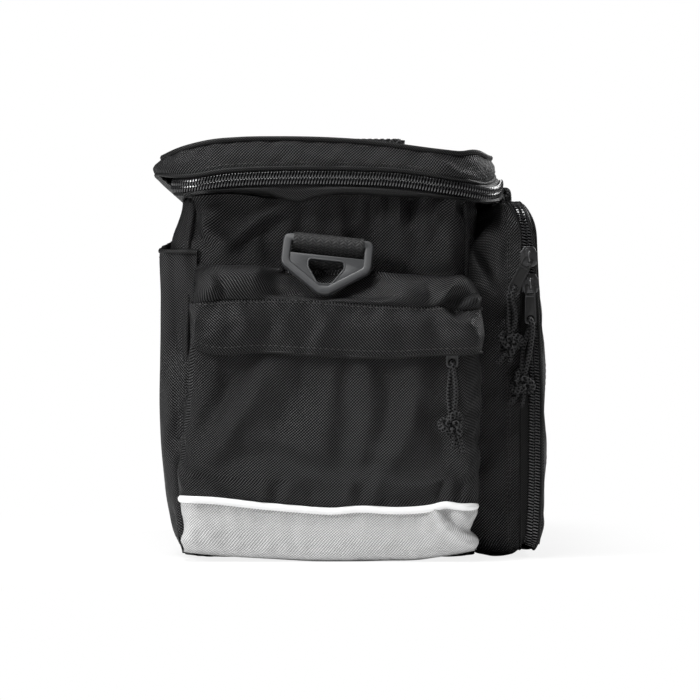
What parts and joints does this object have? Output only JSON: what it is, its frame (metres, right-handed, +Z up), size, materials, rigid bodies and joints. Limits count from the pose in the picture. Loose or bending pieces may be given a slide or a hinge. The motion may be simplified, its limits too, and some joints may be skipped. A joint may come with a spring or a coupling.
{
  "type": "tail bag",
  "caption": "Soft zip-top tail bag with an overhanging padded lid, flapped end pockets over grey bands, a zipped front pocket, an open slip pocket, strap rings and a carry handle.",
  "frame": {"origin": "centre of the base, on the surface the bag stands on", "axes": "+X towards the zipped front pocket, +Y along the bag away from the near end, +Z up"},
  "size_m": [0.214, 0.3154, 0.2359],
  "materials": {
    "black_fabric": "woven polyester, dull",
    "grey_fabric": "woven polyester, dull",
    "reflective_piping": "reflective",
    "lining": "smooth",
    "foam": "closed cell",
    "board": "matte",
    "webbing": "woven strap",
    "zip_coil": "satin nylon",
    "slider_metal": "dark satin",
    "ring_plastic": "matte",
    "cord": "braided"
  },
  "bodies": {
    "bag": {"base_panel": "black_fabric", "near_end_panel": "black_fabric", "front_wall_panel": "black_fabric", "far_end_panel": "black_fabric", "back_wall_panel": "black_fabric", "top_skirt": "black_fabric", "lid_hinge_strip": "black_fabric", "front_pocket_gusset": "black_fabric", "front_hinge_strip": "black_fabric", "rear_slip_pocket": "black_fabric", "near_pocket_pouch": "black_fabric", "near_pocket_roof": "black_fabric", "far_pocket_pouch": "black_fabric", "far_pocket_roof": "black_fabric", "base_board": "board", "wall_foam": "foam", "inner_lining": "lining", "lid_zip_lower_half": "zip_coil", "front_zip_inner_half": "zip_coil", "near_grey_band": "grey_fabric", "near_reflective_piping": "reflective_piping", "near_zip_lower_half": "zip_coil", "near_zip_upper_half": "zip_coil", "near_webbing_loop": "webbing", "far_grey_band": "grey_fabric", "far_reflective_piping": "reflective_piping", "far_zip_lower_half": "zip_coil", "far_zip_upper_half": "zip_coil", "far_webbing_loop": "webbing"},
    "lid": {"lid_zip_upper_half": "zip_coil", "lid_gusset": "black_fabric", "lid_top_panel": "black_fabric", "lid_foam": "foam", "lid_lining": "lining", "carry_handle": "webbing"},
    "front_panel": {"front_zip_outer_half": "zip_coil", "front_pocket_panel": "black_fabric"},
    "near_flap": {"near_pocket_flap": "black_fabric"},
    "far_flap": {"far_pocket_flap": "black_fabric"},
    "near_ring": {"near_strap_ring": "ring_plastic"},
    "far_ring": {"far_strap_ring": "ring_plastic"},
    "near_pocket_slider": {"near_pocket_slider": "slider_metal"},
    "near_pocket_tab": {"near_pocket_pull_tab": "slider_metal", "near_pocket_pull_cord": "cord"},
    "far_pocket_slider": {"far_pocket_slider": "slider_metal"},
    "far_pocket_tab": {"far_pocket_pull_tab": "slider_metal", "far_pocket_pull_cord": "cord"},
    "front_upper_slider": {"front_upper_slider": "slider_metal"},
    "front_upper_tab": {"front_upper_pull_tab": "slider_metal", "front_upper_pull_cord": "cord"},
    "front_lower_slider": {"front_lower_slider": "slider_metal"},
    "front_lower_tab": {"front_lower_pull_tab": "slider_metal", "front_lower_pull_cord": "cord"},
    "lid_near_slider": {"lid_near_slider": "slider_metal"},
    "lid_near_tab": {"lid_near_pull_tab": "slider_metal", "lid_near_pull_cord": "cord"},
    "lid_far_slider": {"lid_far_slider": "slider_metal"},
    "lid_far_tab": {"lid_far_pull_tab": "slider_metal", "lid_far_pull_cord": "cord"}
  },
  "joints": [
    {"name": "lid_hinge", "type": "hinge", "parent": "bag", "child": "lid", "pos_m": [-0.0946, 0, 0.2052], "axis": [0, -1, 0], "range_deg": [0, 105]},
    {"name": "front_panel_hinge", "type": "hinge", "parent": "bag", "child": "front_panel", "pos_m": [0.1144, 0, 0.004], "axis": [0, 1, 0], "range_deg": [0, 75]},
    {"name": "near_flap_hinge", "type": "hinge", "parent": "bag", "child": "near_flap", "pos_m": [0, -0.1494, 0.1374], "axis": [-1, 0, 0], "range_deg": [0, 85]},
    {"name": "near_ring_hinge", "type": "hinge", "parent": "bag", "child": "near_ring", "pos_m": [-0.0003, -0.136, 0.1715], "axis": [-0.9945, 0, 0.1045], "range_deg": [0, 120]},
    {"name": "near_pocket_slide", "type": "slide", "parent": "bag", "child": "near_pocket_slider", "axis": [-1, 0, 0], "range_m": [0, 0.13]},
    {"name": "near_pocket_tab_hinge", "type": "hinge", "parent": "near_pocket_slider", "child": "near_pocket_tab", "pos_m": [0.0657, -0.152, 0.125], "axis": [0, 1, 0], "range_deg": [-30, 30]},
    {"name": "far_flap_hinge", "type": "hinge", "parent": "bag", "child": "far_flap", "pos_m": [0, 0.1494, 0.1374], "axis": [1, 0, 0], "range_deg": [0, 85]},
    {"name": "far_ring_hinge", "type": "hinge", "parent": "bag", "child": "far_ring", "pos_m": [-0.0003, 0.136, 0.1715], "axis": [0.9945, 0, -0.1045], "range_deg": [0, 120]},
    {"name": "far_pocket_slide", "type": "slide", "parent": "bag", "child": "far_pocket_slider", "axis": [-1, 0, 0], "range_m": [0, 0.13]},
    {"name": "far_pocket_tab_hinge", "type": "hinge", "parent": "far_pocket_slider", "child": "far_pocket_tab", "pos_m": [0.0657, 0.152, 0.125], "axis": [0, 1, 0], "range_deg": [-30, 30]},
    {"name": "front_upper_slide", "type": "slide", "parent": "bag", "child": "front_upper_slider", "axis": [0, 0, 1], "range_m": [0, 0.005]},
    {"name": "front_lower_slide", "type": "slide", "parent": "bag", "child": "front_lower_slider", "axis": [0, 0, -1], "range_m": [0, 0.13]},
    {"name": "front_upper_tab_hinge", "type": "hinge", "parent": "front_upper_slider", "child": "front_upper_tab", "pos_m": [0.1095, -0.1205, 0.1632], "axis": [-0.891, 0, 0.454], "range_deg": [0, 120]},
    {"name": "front_lower_tab_hinge", "type": "hinge", "parent": "front_lower_slider", "child": "front_lower_tab", "pos_m": [0.1095, -0.1205, 0.1485], "axis": [-1, 0, 0], "range_deg": [0, 95]},
    {"name": "lid_near_slide", "type": "slide", "parent": "bag", "child": "lid_near_slider", "axis": [0, -1, 0], "range_m": [0, 0.085]},
    {"name": "lid_near_tab_hinge", "type": "hinge", "parent": "lid_near_slider", "child": "lid_near_tab", "pos_m": [0.0978, -0.0102, 0.204], "axis": [0, 0, 1], "range_deg": [0, 90]},
    {"name": "lid_far_slide", "type": "slide", "parent": "bag", "child": "lid_far_slider", "axis": [0, 1, 0], "range_m": [0, 0.085]},
    {"name": "lid_far_tab_hinge", "type": "hinge", "parent": "lid_far_slider", "child": "lid_far_tab", "pos_m": [0.0978, 0.0102, 0.204], "axis": [0, 0, -1], "range_deg": [0, 90]}
  ]
}
